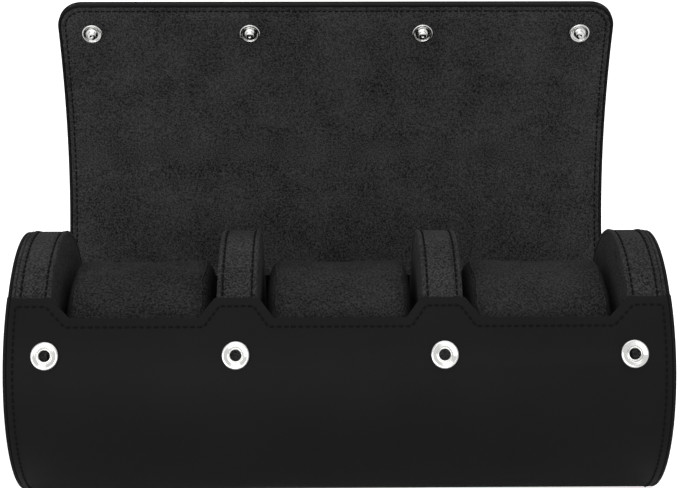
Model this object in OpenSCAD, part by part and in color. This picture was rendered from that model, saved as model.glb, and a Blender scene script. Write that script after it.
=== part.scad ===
// Watch travel case: a leather roll with three compartments, each holding a removable pillow,
// and a wide curved lid that wraps over the roll and closes on four snaps.
// X runs along the roll, -Y is the front with the snap sockets, +Z is up.
// The origin is the centre of the flat base. Millimetres throughout.

/* [Roll] */
// Length of the roll over both end panels
body_len = 245; // [215:1:285]
// Outside radius of the roll
body_r = 50; // [46:0.5:58]
// Width of the flat base that the roll stands on
base_w = 44; // [30:1:48]
// Thickness of the leather wrap
leather_t = 1.3; // [1:0.1:1.8]
// Thickness of the board shell under the leather
board_t = 2.5; // [1.5:0.1:3.5]
// Thickness of the suede lining inside the roll
lining_t = 1; // [0.6:0.1:1.4]
// Height of the wrap's edge in front of each compartment, in degrees above the front level
slot_edge_a = 38.7; // [30:0.1:42]
// Height of the wrap's tabs in front of the walls, in degrees above the front level
tab_edge_a = 48; // [45:0.1:54]
// Height of the roll's back edge, in degrees above the back level
back_edge_a = 30; // [20:1:36]

/* [Walls] */
// Thickness of each padded end wall with its panels
end_wall_w = 16; // [12:0.5:20]
// Thickness of each divider with its faces
divider_w = 15; // [10:0.5:18]
// Distance from the roll's middle to the middle of each divider
divider_x = 38; // [34:0.5:42]
// Thickness of the suede faces on the walls and dividers
face_t = 1.2; // [0.8:0.1:1.6]
// Thickness of the suede band over the top of each wall
rim_t = 1.3; // [0.8:0.1:1.8]
// Width of the wrap's tab at its top, in front of a divider
tab_w = 16.2; // [12:0.1:20]
// Run of the slanting sides of a divider's tab, along the roll
tab_slope = 5.6; // [3:0.1:8]
// Run of the slanting side of an end wall's tab
end_tab_slope = 7.6; // [3:0.1:9]
// How far the walls' padded tops swell above the board's edge
wall_rise = 2.3; // [1.2:0.1:2.4]
// Radius of the piping along the outer edge of each end wall
piping_r = 0.7; // [0.5:0.05:0.7]
// Crown of the leather end panels
end_crown = 1.2; // [0.4:0.1:2]

/* [Pillows] */
// Room between a pillow's end and the wall beside it
pillow_side_gap = 2.5; // [1:0.5:5]
// Width of a pillow from front to back
pillow_w = 70; // [64:1:76]
// Height of a pillow
pillow_h = 52; // [46:1:56]
// Radius of a pillow's front and back
pillow_side_r = 20; // [16:0.5:21]
// Height of a pillow's middle above the roll's axis
pillow_up = 15; // [11:0.5:16]
// Thickness of a pillow's suede cover
pillow_cover_t = 1.5; // [1:0.1:2]
// Height of the foam seat under a pillow, measured up from the pillow's lowest line
seat_up = 9; // [5:0.5:12]
// Clearance between a pillow and its seat
seat_gap = 0.3; // [0.2:0.05:0.6]
// Clearance between the foam seats and the walls beside them
seat_side_gap = 0.2; // [0.1:0.05:0.5]

/* [Lid] */
// How far the lid's sides stand in from the roll's ends
lid_side_gap = 0.5; // [0:0.1:2]
// Thickness of the lid's leather
lid_leather_t = 1.2; // [0.9:0.1:1.5]
// Thickness of the lid's springy board
lid_board_t = 1; // [0.7:0.1:1.2]
// Thickness of the lid's suede lining
lid_lining_t = 1; // [0.7:0.1:1.2]
// Width of the leather turned round the lid's edge
lid_border = 3.6; // [2.5:0.1:5]
// Radius of the lid's two front corners
lid_corner_r = 9; // [5:0.5:14]
// Number of strips that stand for the lid's curve
lid_strips = 8; // [8:1:8]
// Room between the shut lid and the roll, on average
lid_gap = 1.75; // [1.7:0.05:2]
// How much further the shut lid stands off at the snaps than on average
lid_offset = 1.15; // [1.1:0.05:1.2]
// Angle of the lid's first crease, in degrees below the back level
lid_hinge_a = 51.5; // [48:0.1:52]
// Direction of the open lid's first strip, in degrees above the table
lid_foot_a = 17; // [14:0.5:19]
// How many degrees the open lid still bends in its first free crease
lid_first_bend = 18.5; // [16:0.5:19]
// How many degrees the open lid still bends in its last crease
lid_last_bend = 8; // [6:0.5:11]
// Clearance in the creases between the lid's strips
crease_gap = 0.25; // [0.15:0.05:0.4]

/* [Snaps] */
// Height of the snaps on the roll's front, in degrees above the front level
snap_a = 23; // [18:0.5:26]
// Distance from the roll's end to the outer snaps
snap_end_gap = 15.3; // [12:0.1:24]
// Distance from the lid's free edge to the snaps
snap_edge = 14; // [11:0.5:16]
// Radius of a snap socket's disc
socket_r = 5.15; // [4.6:0.05:5.6]
// Height of a snap socket above the leather
socket_h = 1.6; // [1.4:0.05:1.7]
// Radius of the hole that the stud enters
socket_hole_r = 2.1; // [2:0.05:2.3]
// Radial clearance between the stud's head and the hole
snap_fit = 0.15; // [0.1:0.01:0.2]
// Radius of the ring spring's wire
spring_wire_r = 0.28; // [0.2:0.01:0.32]
// Radius of the socket's eyelet
eyelet_r = 2.7; // [2.6:0.05:3]
// Radius of the flanges behind the sockets
eyelet_flange_r = 4.4; // [4:0.1:5]
// Thickness of the flanges behind the sockets
eyelet_flange_t = 0.5; // [0.3:0.05:0.7]
// Radius of a stud's flange
stud_r = 4.45; // [4:0.05:5]
// Thickness of a stud's flange
stud_flange_t = 0.9; // [0.7:0.05:1]
// Height of a stud's head above its flange
stud_h = 2.2; // [1.9:0.05:2.3]
// Radius of the rivet through the lid
rivet_r = 1.1; // [0.9:0.05:1.3]
// Radius of the caps on the lid's outside
cap_r = 5; // [4.5:0.1:6]
// Height of the caps on the lid's outside
cap_h = 1.2; // [0.8:0.1:1.5]

/* [Hidden] */
SIDES = ["left", "right"];
POCKETS = [1, 2, 3];

$fn = 96;

// Colours, near black as leather and suede are
leather_col = "#26262a";
suede_col = "#38383c";
board_col = "#8a7a5c";
foam_col = "#c9c6bd";
nickel_col = "#d4d6d8";

// The roll's axis above the base, and the radii of its layers
axis_h = sqrt(pow(body_r, 2) - pow(base_w / 2, 2));
shell_r = body_r - leather_t;
inner_r = shell_r - board_t;
trough_r = inner_r - lining_t;
slot_a = 180 - slot_edge_a;
tab_a = 180 - tab_edge_a;
// How far the turned edges reach round the board, in degrees
lip_a = asin(leather_t / body_r);

// Places along the roll
shell_len = body_len - 2 * leather_t;
lid_w = body_len - 2 * lid_side_gap;
hall_len = body_len - 2 * end_wall_w;
bay_x = (hall_len / 2 + divider_x + divider_w / 2) / 2;
bay_w = hall_len / 2 - divider_x - divider_w / 2;
mid_bay_w = 2 * divider_x - divider_w;
BAYS = [[-bay_x, bay_w], [0, mid_bay_w], [bay_x, bay_w]];
pillow_len = min(bay_w, mid_bay_w) - 2 * pillow_side_gap;
mid_foot_x = divider_x - tab_w / 2 - tab_slope;
side_foot_x = [divider_x + tab_w / 2 + tab_slope, hall_len / 2 - end_tab_slope];
snap_outer_x = body_len / 2 - snap_end_gap;
SNAP_X = [-snap_outer_x, -divider_x, divider_x, snap_outer_x];

// The pillow's oval: two wide arcs joined by the front and back circles
oval_a = pillow_w / 2;
oval_b = pillow_h / 2;

// The lid shut: its strips are chords round a centre set forward of the roll's axis
lid_t = lid_leather_t + lid_board_t + lid_lining_t;
lid_shut_r = body_r + lid_gap + lid_t / 2;
lid_step = (180 - snap_a + lid_hinge_a) / (lid_strips - 0.5);
strip_l = 2 * lid_shut_r * tan(lid_step / 2);
hinge_r = lid_shut_r / cos(lid_step / 2);
first_hinge = [
  -lid_offset + hinge_r * cos(lid_hinge_a),
  axis_h - hinge_r * sin(lid_hinge_a)
];

// The leather's top where the lid leaves the roll, and the wrap's back edge just above it
root_top = first_hinge[1] - lid_t / 2 + lid_leather_t;
wrap_back_a = asin((axis_h - root_top) / body_r) - lip_a;

// The lid open: each strip's direction and the crease where it starts
bend_change = (lid_last_bend - lid_first_bend) / (lid_strips - 2);
function open_dir(k) = lid_foot_a + (k - 1) * (lid_first_bend + bend_change * (k - 2) / 2);
function crease(k) =
  k == 1 ? first_hinge : crease(k - 1) + strip_l * [cos(open_dir(k - 1)), sin(open_dir(k - 1))];
function strip_len(k) = k < lid_strips ? strip_l : strip_l / 2 + snap_edge;

// The snaps on the shut lid: direction of their line, and where it meets the leather
snap_dir = 180 - snap_a;
snap_seat_r = lid_offset * cos(snap_dir)
  + sqrt(pow(body_r, 2) - pow(lid_offset * sin(snap_dir), 2));
head_r = socket_hole_r - snap_fit;
// Play between a socket and what it is pressed against
metal_gap = 0.05;
// Depth of the board's inner face behind a socket, and the room cut there for its flange
flange_back = leather_t + board_t + metal_gap;
flange_cut = 0.4;
flange_play = 0.25;
// The chamber for a ring spring: its height in the socket and its size
spring_z = 0.75;
spring_room = 0.7;

// The walls' swelled tops: an arc through the wrap's edges, highest midway between them
top_mid_a = (back_edge_a + tab_a) / 2;
top_half_a = (tab_a - back_edge_a) / 2;
top_high_r = shell_r + wall_rise;
top_up = (pow(top_high_r, 2) - pow(shell_r, 2)) / (2 * (top_high_r - shell_r * cos(top_half_a)));
top_r = top_high_r - top_up;
// Half of that arc, seen from its own centre
top_arc_a = atan2(shell_r * sin(top_half_a), shell_r * cos(top_half_a) - top_up);
// How far the piping stands out of the walls' tops
piping_out = 0.2;

// ---------------------------------------------------------------- helpers

// A section drawn in Y and Z, run along X by len about the middle x
module along(len, x = 0) {
  translate([x - len / 2, 0, 0]) rotate([90, 0, 90]) linear_extrude(len) children();
}

// A section drawn about the roll's axis instead of the base
module about_axis() {
  translate([0, axis_h]) children();
}

// The roll's round section at radius r, flat along the base
module disc2d(r) {
  intersection() {
    circle(r);
    translate([-2 * r, body_r - r - axis_h]) square([4 * r, 4 * r]);
  }
}

// A pie slice from angle a0 to a1, wide enough to cut the whole roll
module slice2d(a0, a1, reach = 2 * body_r) {
  n = ceil((a1 - a0) / 20);
  step = (a1 - a0) / n;
  polygon(concat([[0, 0]], [for (i = [0 : n]) reach * [cos(a0 + step * i), sin(a0 + step * i)]]));
}

// The part of a layer from angle a0 to a1
module ring2d(r_out, r_in, a0, a1) {
  intersection() {
    difference() {
      disc2d(r_out);
      disc2d(r_in);
    }
    slice2d(a0, a1);
  }
}

// A layer of the roll between two radii, open from angle a0 to a1
module layer2d(r_out, r_in, a0, a1) {
  difference() {
    disc2d(r_out);
    disc2d(r_in);
    slice2d(a0, a1);
  }
}

// The opening between two tabs, from x0 to x1 at its foot and wider by each side's slope at its top
module bay_cut(x0, x1, slope0, slope1) {
  rise = body_r * (tab_edge_a - slot_edge_a) * PI / 180;
  translate([0, 0, axis_h]) rotate([slot_a - 90, 0, 0])
    translate([0, 0, body_r / 2]) linear_extrude(body_r)
      polygon([
        [x0, 0],
        [x1, 0],
        [x1 + slope1 * 3, 3 * rise],
        [x0 - slope0 * 3, 3 * rise]
      ]);
}

// One side's x sign
function side_sign(s) = s == "left" ? -1 : 1;

// Moves a section to the centre of the walls' swelled tops
module at_top_centre() {
  translate(top_up * [cos(top_mid_a), sin(top_mid_a)]) children();
}

// The walls' swelled top, smaller by inset, between the wrap's back edge and its tabs
module top2d(inset = 0) {
  intersection() {
    at_top_centre() circle(top_r - inset);
    slice2d(back_edge_a, tab_a);
  }
}

// The section of a wall that stands in the roll: low_r inside the shell, filled out behind the tabs
module wall2d(low_r) {
  disc2d(low_r);
  intersection() {
    disc2d(shell_r);
    slice2d(tab_a, slot_a);
  }
  top2d(rim_t);
}

// The band over a wall's top
module rim2d() {
  difference() {
    top2d();
    at_top_centre() circle(top_r - rim_t);
  }
}

// The outline of an end: round as the wrap, then over the walls' swelled top
module end2d() {
  difference() {
    disc2d(body_r);
    slice2d(back_edge_a, tab_a);
  }
  top2d();
}

// A pillow's oval, smaller all round by inset
module oval2d(inset = 0) {
  a = oval_a - inset;
  b = oval_b - inset;
  r = pillow_side_r - inset;
  wide_r = (pow(a - r, 2) + pow(b, 2) - pow(r, 2)) / (2 * (b - r));
  join_y = (a - r) * wide_r / (wide_r - r);
  intersection() {
    translate([0, b - wide_r]) circle(wide_r);
    translate([0, wide_r - b]) circle(wide_r);
    square([2 * join_y, 4 * b], center = true);
  }
  for (m = [-1, 1]) translate([m * (a - r), 0]) circle(r);
}

// ---------------------------------------------------------------- roll

module outer_wrap() {
  color(leather_col) difference() {
    union() {
      along(shell_len) {
        about_axis() layer2d(body_r, shell_r, -wrap_back_a, tab_a);
        hinge_root2d(0, root_top, shell_r);
      }
      // the leather turned over the board's edge in front of each compartment
      for (f = [[-mid_foot_x, mid_foot_x], side_foot_x, -side_foot_x])
        along(abs(f[1] - f[0]) - 2 * leather_t, (f[0] + f[1]) / 2)
          about_axis() ring2d(body_r - leather_t / 2, trough_r, slot_a - lip_a, slot_a + lip_a);
    }
    bay_cut(-mid_foot_x, mid_foot_x, tab_slope, tab_slope);
    bay_cut(side_foot_x[0], side_foot_x[1], tab_slope, end_tab_slope);
    mirror([1, 0, 0]) bay_cut(side_foot_x[0], side_foot_x[1], tab_slope, end_tab_slope);
    socket_holes(eyelet_r);
  }
}

// The part of the lid's build-up that stays on the roll, from the base to the first crease
module hinge_root2d(z0, z1, cut_r) {
  foot_y = base_w / 2 - leather_t;
  end_y = first_hinge[0] - lid_t / 4;
  difference() {
    translate([foot_y, z0]) square([end_y - foot_y, z1 - z0]);
    about_axis() disc2d(cut_r);
    translate(first_hinge) circle(lid_t / 2 + crease_gap);
  }
}

module hinge_backing() {
  color(suede_col) along(lid_w - 2 * lid_border) hinge_root2d(root_top, first_hinge[1] + lid_t / 2, body_r);
}

module core_shell() {
  color(board_col) difference() {
    along(shell_len) about_axis() layer2d(shell_r, inner_r, back_edge_a - lip_a, slot_a + lip_a);
    socket_holes(eyelet_r);
    socket_frame() translate([0, 0, -flange_back - flange_cut])
      cylinder(h = flange_cut + eyelet_flange_t + flange_play, r = eyelet_flange_r + snap_fit);
  }
}

module trough_lining() {
  color(suede_col) along(hall_len) about_axis() layer2d(inner_r, trough_r, back_edge_a - lip_a, slot_a + lip_a);
}

module back_cover() {
  color(suede_col) {
    along(shell_len) about_axis() ring2d(body_r, shell_r, -wrap_back_a, back_edge_a);
    for (b = BAYS)
      along(b[1], b[0]) about_axis() ring2d(body_r - leather_t / 2, trough_r, back_edge_a - lip_a, back_edge_a);
  }
}

module seat_pads() {
  low = pillow_up - oval_b;
  color(foam_col) for (b = BAYS)
    along(b[1] - 2 * seat_side_gap, b[0]) about_axis() difference() {
      disc2d(trough_r);
      translate([-body_r, low + seat_up]) square([2 * body_r, 2 * body_r]);
      translate([0, pillow_up]) oval2d(-seat_gap);
    }
}

// ---------------------------------------------------------------- walls

module divider_core(s) {
  color(foam_col) along(divider_w - 2 * face_t, side_sign(s) * divider_x) about_axis() wall2d(trough_r);
}

module divider_faces(s) {
  color(suede_col) for (m = [-1, 1])
    along(face_t, side_sign(s) * divider_x + m * (divider_w - face_t) / 2) about_axis() wall2d(trough_r);
}

module divider_rim(s) {
  color(suede_col) along(divider_w, side_sign(s) * divider_x) about_axis() rim2d();
}

module end_core(s) {
  core_w = end_wall_w - leather_t - face_t;
  core_x = body_len / 2 - leather_t - core_w / 2;
  color(foam_col) along(core_w, side_sign(s) * core_x) about_axis() wall2d(inner_r);
}

module end_face(s) {
  face_x = body_len / 2 - end_wall_w + face_t / 2;
  color(suede_col) along(face_t, side_sign(s) * face_x) about_axis() wall2d(inner_r);
}

module end_rim(s) {
  rim_w = end_wall_w - leather_t - 2 * piping_r;
  color(suede_col) along(rim_w, side_sign(s) * (body_len / 2 - end_wall_w + rim_w / 2)) about_axis() rim2d();
}

// The leather panel on an end, slightly crowned and flat along the base
module end_panel(s) {
  steps = 5;
  color(leather_col) mirror([s == "left" ? 1 : 0, 0, 0]) intersection() {
    along(2 * (leather_t + end_crown), body_len / 2) about_axis() end2d();
    translate([body_len / 2 - leather_t, 0, axis_h]) rotate([0, 90, 0]) rotate_extrude()
      polygon(concat(
        [[0, 0], [top_high_r, 0]],
        [for (i = [steps : -1 : 0])
          [top_high_r * i / steps, leather_t + end_crown * (1 - pow(i / steps, 2))]]
      ));
  }
}

module end_piping(s) {
  color(leather_col)
    translate([side_sign(s) * (body_len / 2 - leather_t - piping_r), 0, axis_h])
      rotate([90, 0, 90]) at_top_centre() rotate([0, 0, top_mid_a - top_arc_a])
        rotate_extrude(angle = 2 * top_arc_a)
          translate([top_r - piping_r + piping_out, 0]) circle(piping_r, $fn = 24);
}

// ---------------------------------------------------------------- pillows

function pocket_x(i) = (i - 2) * bay_x;

module pillow_cover(i) {
  color(suede_col) translate([pocket_x(i), 0, axis_h + pillow_up]) {
    difference() {
      along(pillow_len) oval2d();
      along(pillow_len + 1) oval2d(pillow_cover_t);
    }
    for (m = [-1, 1]) along(pillow_cover_t, m * (pillow_len - pillow_cover_t) / 2) oval2d(pillow_cover_t);
  }
}

module pillow_core(i) {
  color(foam_col) translate([pocket_x(i), 0, axis_h + pillow_up])
    along(pillow_len - 2 * pillow_cover_t) oval2d(pillow_cover_t);
}

// ---------------------------------------------------------------- lid

// A strip's own frame: X along the roll, Y along the lid, Z from the leather to the lining
module on_strip(k) {
  translate([0, crease(k)[0], crease(k)[1]]) rotate([open_dir(k), 0, 0]) children();
}

// A strip's section between two heights, round at its crease and hollow for the next strip's
module strip2d(k, z0, z1) {
  difference() {
    intersection() {
      union() {
        circle(lid_t / 2);
        translate([0, -lid_t / 2]) square([strip_len(k), lid_t]);
      }
      translate([-lid_t, z0]) square([2 * strip_len(k), z1 - z0]);
    }
    if (k < lid_strips) translate([strip_len(k), 0]) circle(lid_t / 2 + crease_gap);
  }
}

// The last strip's outline from above, smaller by inset on its three free sides
module tip_plan(inset) {
  w = lid_w - 2 * inset;
  l = strip_len(lid_strips) - inset;
  r = lid_corner_r - inset;
  translate([-w / 2, -lid_t]) square([w, lid_t + l - r]);
  translate([r - w / 2, 0]) square([w - 2 * r, l]);
  for (m = [-1, 1]) translate([m * (w / 2 - r), l - r]) circle(r);
}

// A strip's layer, trimmed to the lid's outline
module strip_layer(k, z0, z1, inset) {
  intersection() {
    along(lid_w - 2 * inset) strip2d(k, z0, z1);
    if (k == lid_strips) translate([0, 0, -lid_t]) linear_extrude(2 * lid_t) tip_plan(inset);
    else along(lid_w - 2 * inset) translate([-lid_t, -lid_t]) square([strip_len(k) + 2 * lid_t, 2 * lid_t]);
  }
}

module lid_leather(k) {
  color(leather_col) on_strip(k) difference() {
    strip_layer(k, -lid_t / 2, lid_t / 2, 0);
    translate([0, 0, lid_leather_t - lid_t / 2])
      if (k == lid_strips) linear_extrude(lid_t) tip_plan(lid_border);
      else along(lid_w - 2 * lid_border) translate([-lid_t, 0]) square([strip_len(k) + 2 * lid_t, lid_t]);
    if (k == lid_strips) rivet_holes();
  }
}

module lid_board(k) {
  color(board_col) on_strip(k) difference() {
    strip_layer(k, lid_leather_t - lid_t / 2, lid_t / 2 - lid_lining_t, lid_border);
    if (k == lid_strips) rivet_holes();
  }
}

module lid_lining(k) {
  color(suede_col) on_strip(k) difference() {
    strip_layer(k, lid_t / 2 - lid_lining_t, lid_t / 2, lid_border);
    if (k == lid_strips) rivet_holes();
  }
}

// ---------------------------------------------------------------- snaps

// Each snap's place on the roll, Z outward along the shut stud's line
module socket_frame() {
  for (x = SNAP_X)
    translate([x, -lid_offset, axis_h]) rotate([snap_dir - 90, 0, 0])
      translate([0, 0, snap_seat_r + metal_gap]) children();
}

module socket_holes(r) {
  socket_frame() translate([0, 0, -body_r / 4]) cylinder(h = body_r / 2, r = r + snap_fit / 2);
}

// The socket's disc, with its rolled rim, its sunk ring and its collar round the hole
module socket_caps() {
  edge = 0.3;
  dish = 0.35;
  rim_w = 0.8;
  collar_w = 0.9;
  top = socket_h;
  color(nickel_col) socket_frame() rotate_extrude() difference() {
    polygon([
      [socket_hole_r, 0],
      [socket_r - edge, 0],
      [socket_r, edge],
      [socket_r, top - 2 * edge],
      [socket_r - edge, top - edge / 2],
      [socket_r - rim_w, top],
      [socket_r - rim_w - dish, top - dish],
      [socket_hole_r + collar_w + dish, top - dish],
      [socket_hole_r + collar_w, top],
      [socket_hole_r + edge, top],
      [socket_hole_r, top - edge]
    ]);
    // the chamber for the ring spring
    translate([0, spring_z - spring_room / 2]) square([socket_hole_r + spring_room, spring_room]);
  }
}

// The split ring spring in each socket, at the size it opens to
module socket_springs() {
  gap_a = 40;
  color(nickel_col) socket_frame() translate([0, 0, spring_z]) rotate([0, 0, gap_a / 2])
    rotate_extrude(angle = 360 - gap_a)
      translate([head_r + metal_gap + spring_wire_r, 0]) circle(spring_wire_r, $fn = 16);
}

// The eyelet through leather and board that clamps each socket
module socket_eyelets() {
  bore_r = socket_hole_r + metal_gap;
  color(nickel_col) socket_frame() rotate_extrude() polygon([
    [bore_r, 0],
    [eyelet_r, 0],
    [eyelet_r, eyelet_flange_t - flange_back],
    [eyelet_flange_r, eyelet_flange_t - flange_back],
    [eyelet_flange_r, -flange_back],
    [bore_r, -flange_back]
  ]);
}

// Each snap's place on the lid, Z out of the lining
module stud_frame() {
  for (x = SNAP_X) translate([x, strip_l / 2, lid_t / 2]) children();
}

module rivet_holes() {
  stud_frame() translate([0, 0, -2 * lid_t]) cylinder(h = 4 * lid_t, r = rivet_r, $fn = 32);
}

// The stud: a dished flange and a round head on a narrower neck, with the rivet's small hole
module snap_studs() {
  hole_r = 0.4;
  edge = 0.3;
  rim_w = 0.9;
  neck_r = head_r - edge;
  top = stud_flange_t + stud_h;
  color(nickel_col) on_strip(lid_strips) stud_frame() rotate_extrude() polygon([
    [hole_r, 0],
    [stud_r - edge, 0],
    [stud_r, edge],
    [stud_r, stud_flange_t - edge],
    [stud_r - edge, stud_flange_t],
    [stud_r - rim_w, stud_flange_t],
    [stud_r - rim_w - edge, stud_flange_t - edge],
    [neck_r + 2 * edge, stud_flange_t - edge],
    [neck_r, stud_flange_t],
    [neck_r, stud_flange_t + stud_h * 0.4],
    [head_r, stud_flange_t + stud_h * 0.58],
    [head_r, stud_flange_t + stud_h * 0.75],
    [head_r - edge, top - edge / 2],
    [head_r - 3 * edge, top],
    [hole_r, top - edge / 2]
  ]);
}

// The cap on the outside of the lid and its rivet, up to the stud's flange
module snap_backs() {
  dome_r = (pow(cap_r, 2) + pow(cap_h, 2)) / (2 * cap_h);
  color(nickel_col) on_strip(lid_strips) stud_frame() {
    translate([0, 0, -lid_t]) rotate([180, 0, 0]) intersection() {
      cylinder(h = cap_h, r = cap_r);
      translate([0, 0, cap_h - dome_r]) sphere(dome_r, $fn = 128);
    }
    translate([0, 0, -lid_t]) cylinder(h = lid_t, r = rivet_r, $fn = 32);
  }
}

// ---------------------------------------------------------------- assembly

outer_wrap();
hinge_backing();
core_shell();
trough_lining();
back_cover();
seat_pads();
for (s = SIDES) {
  divider_core(s);
  divider_faces(s);
  divider_rim(s);
  end_core(s);
  end_face(s);
  end_rim(s);
  end_panel(s);
  end_piping(s);
}
for (i = POCKETS) {
  pillow_cover(i);
  pillow_core(i);
}
for (k = [1 : lid_strips]) {
  lid_leather(k);
  lid_board(k);
  lid_lining(k);
}
socket_caps();
socket_springs();
socket_eyelets();
snap_studs();
snap_backs();
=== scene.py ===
import math

import bpy
from mathutils import Matrix, Vector


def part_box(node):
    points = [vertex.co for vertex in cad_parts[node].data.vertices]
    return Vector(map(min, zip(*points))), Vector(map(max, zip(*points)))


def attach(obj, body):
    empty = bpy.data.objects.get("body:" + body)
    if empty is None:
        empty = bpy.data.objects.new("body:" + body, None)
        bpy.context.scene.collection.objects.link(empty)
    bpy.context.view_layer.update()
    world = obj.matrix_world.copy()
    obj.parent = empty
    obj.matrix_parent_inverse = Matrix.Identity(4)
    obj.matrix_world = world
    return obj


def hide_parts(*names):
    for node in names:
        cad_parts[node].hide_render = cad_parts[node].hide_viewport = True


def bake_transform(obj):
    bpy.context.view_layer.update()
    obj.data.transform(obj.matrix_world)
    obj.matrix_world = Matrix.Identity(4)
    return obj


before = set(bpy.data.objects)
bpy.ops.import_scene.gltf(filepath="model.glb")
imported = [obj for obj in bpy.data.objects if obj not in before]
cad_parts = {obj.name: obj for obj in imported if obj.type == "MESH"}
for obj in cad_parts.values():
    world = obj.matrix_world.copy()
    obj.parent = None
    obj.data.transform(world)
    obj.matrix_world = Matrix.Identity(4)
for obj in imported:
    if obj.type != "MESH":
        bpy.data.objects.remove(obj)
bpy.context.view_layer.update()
bpy.ops.object.select_all(action="DESELECT")

mm = 0.001
tiny = 1e-6

# The roll: its section is round with a flat base, and angles are measured from the back level, upward
wrapLow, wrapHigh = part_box("outer_wrap")
roll = {
    "radius": -wrapLow.y,
    "halfLength": wrapHigh.x,
    "tabAngle": math.radians(132),
    "slotAngle": math.radians(141.3),
    "backAngle": math.radians(30),
    "baseHalf": 22 * mm,
    "leather": 1.3 * mm,
    "board": 2.5 * mm,
}
roll["axis"] = math.sqrt(roll["radius"] ** 2 - roll["baseHalf"] ** 2)
roll["baseAngle"] = math.pi + math.asin(roll["axis"] / roll["radius"])
walls = {
    "divider": 38 * mm,
    "dividerWidth": 15 * mm,
    "endInside": 106.5 * mm,
    "rise": 2.3 * mm,
    "band": 1.3 * mm,
}
sides = {"left": -1, "right": 1}

# The walls' swelled tops: an arc through the wrap's edges, highest midway between them
boardRadius = roll["radius"] - roll["leather"]
topMiddle = (roll["backAngle"] + roll["tabAngle"]) / 2
topHalf = (roll["tabAngle"] - roll["backAngle"]) / 2
topHigh = boardRadius + walls["rise"]
topUp = (topHigh ** 2 - boardRadius ** 2) / (2 * (topHigh - boardRadius * math.cos(topHalf)))
topRadius = topHigh - topUp
topSpan = 2 * math.atan2(boardRadius * math.sin(topHalf), boardRadius * math.cos(topHalf) - topUp)
topCentre = (topUp * math.cos(topMiddle), roll["axis"] + topUp * math.sin(topMiddle))


# How far the walls' swelled tops are from the roll's axis
def topReach(angle):
    away = angle - topMiddle
    return topUp * math.cos(away) + math.sqrt(topRadius ** 2 - (topUp * math.sin(away)) ** 2)


# Camera: in front of the roll and above it, turned down to see into the compartments and the lid
camera = {
    "place": (-6.28 * mm, -560.2 * mm, 256.3 * mm),
    "turn": (math.radians(75.39), 0, math.radians(-0.67)),
    "lens": 79.66,
    "shift": -0.065,
    "near": 20 * mm,
}
bpy.ops.object.camera_add(location=camera["place"], rotation=camera["turn"])
bpy.context.scene.camera = bpy.context.object
bpy.context.object.data.lens = camera["lens"]
bpy.context.object.data.shift_y = camera["shift"]
bpy.context.object.data.clip_start = camera["near"]
bpy.context.scene.view_settings.view_transform = "Standard"


# Materials
def colour(code):
    channels = [int(code[i : i + 2], 16) / 255 for i in (1, 3, 5)]
    return [c / 12.92 if c <= 0.04045 else ((c + 0.055) / 1.055) ** 2.4 for c in channels] + [1]


def addNode(tree, kind, at, settings=None, **inputs):
    node = tree.nodes.new(kind)
    node.location = at
    for key, value in (settings or {}).items():
        setattr(node, key, value)
    for key, value in inputs.items():
        socket = node.inputs[key.replace("_", " ")]
        if isinstance(value, bpy.types.NodeSocket):
            tree.links.new(value, socket)
        else:
            socket.default_value = value
    return node


def startMaterial(name, **shader):
    material = bpy.data.materials.new(name)
    material.use_nodes = True
    tree = material.node_tree
    surface = tree.nodes["Principled BSDF"]
    for key, value in shader.items():
        surface.inputs[key.replace("_", " ")].default_value = value
    coords = addNode(tree, "ShaderNodeTexCoord", (-1300, 0)).outputs["Object"]
    return material, tree, surface, coords


def addNoise(tree, at, coords, size, detail, **more):
    return addNode(
        tree, "ShaderNodeTexNoise", at, Vector=coords, Scale=1 / size, Detail=detail, **more,
    ).outputs["Fac"]


def addBump(tree, at, height, depth, strength, **more):
    return addNode(
        tree, "ShaderNodeBump", at, Height=height, Distance=depth, Strength=strength, **more,
    ).outputs["Normal"]


# The surface's colour: first where the pattern is 0, second where it is 1
def mixColours(tree, at, surface, pattern, first, second):
    shade = addNode(tree, "ShaderNodeMix", at, {"data_type": "RGBA"})
    shade.inputs[6].default_value = colour(first)
    shade.inputs[7].default_value = colour(second)
    tree.links.new(pattern, shade.inputs[0])
    tree.links.new(shade.outputs[2], surface.inputs["Base Color"])


def makeLeather(name, base, worn, roughness, grain):
    material, tree, surface, coords = startMaterial(name, Specular_IOR_Level=0.07)
    pebble = addNode(
        tree, "ShaderNodeTexVoronoi", (-1050, -250), {"feature": "DISTANCE_TO_EDGE"},
        Vector=coords, Scale=1 / grain,
    )
    fine = addNoise(tree, (-1050, -500), coords, 0.25 * mm, 3.0)
    wave = addNoise(tree, (-1050, -750), coords, 14 * mm, 2.0)
    patch = addNoise(tree, (-1050, 200), coords, 30 * mm, 3.0)
    mixColours(tree, (-700, 200), surface, patch, base, worn)
    rough = addNode(
        tree, "ShaderNodeMapRange", (-700, -50),
        Value=fine, To_Min=roughness - 0.06, To_Max=roughness + 0.08,
    )
    tree.links.new(rough.outputs["Result"], surface.inputs["Roughness"])
    broad = addBump(tree, (-700, -750), wave, 0.5 * mm, 0.5)
    pores = addBump(tree, (-500, -500), fine, 0.03 * mm, 0.5, Normal=broad)
    cells = addBump(tree, (-300, -250), pebble.outputs["Distance"], 0.12 * mm, 0.4, Normal=pores)
    tree.links.new(cells, surface.inputs["Normal"])
    return material


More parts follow.
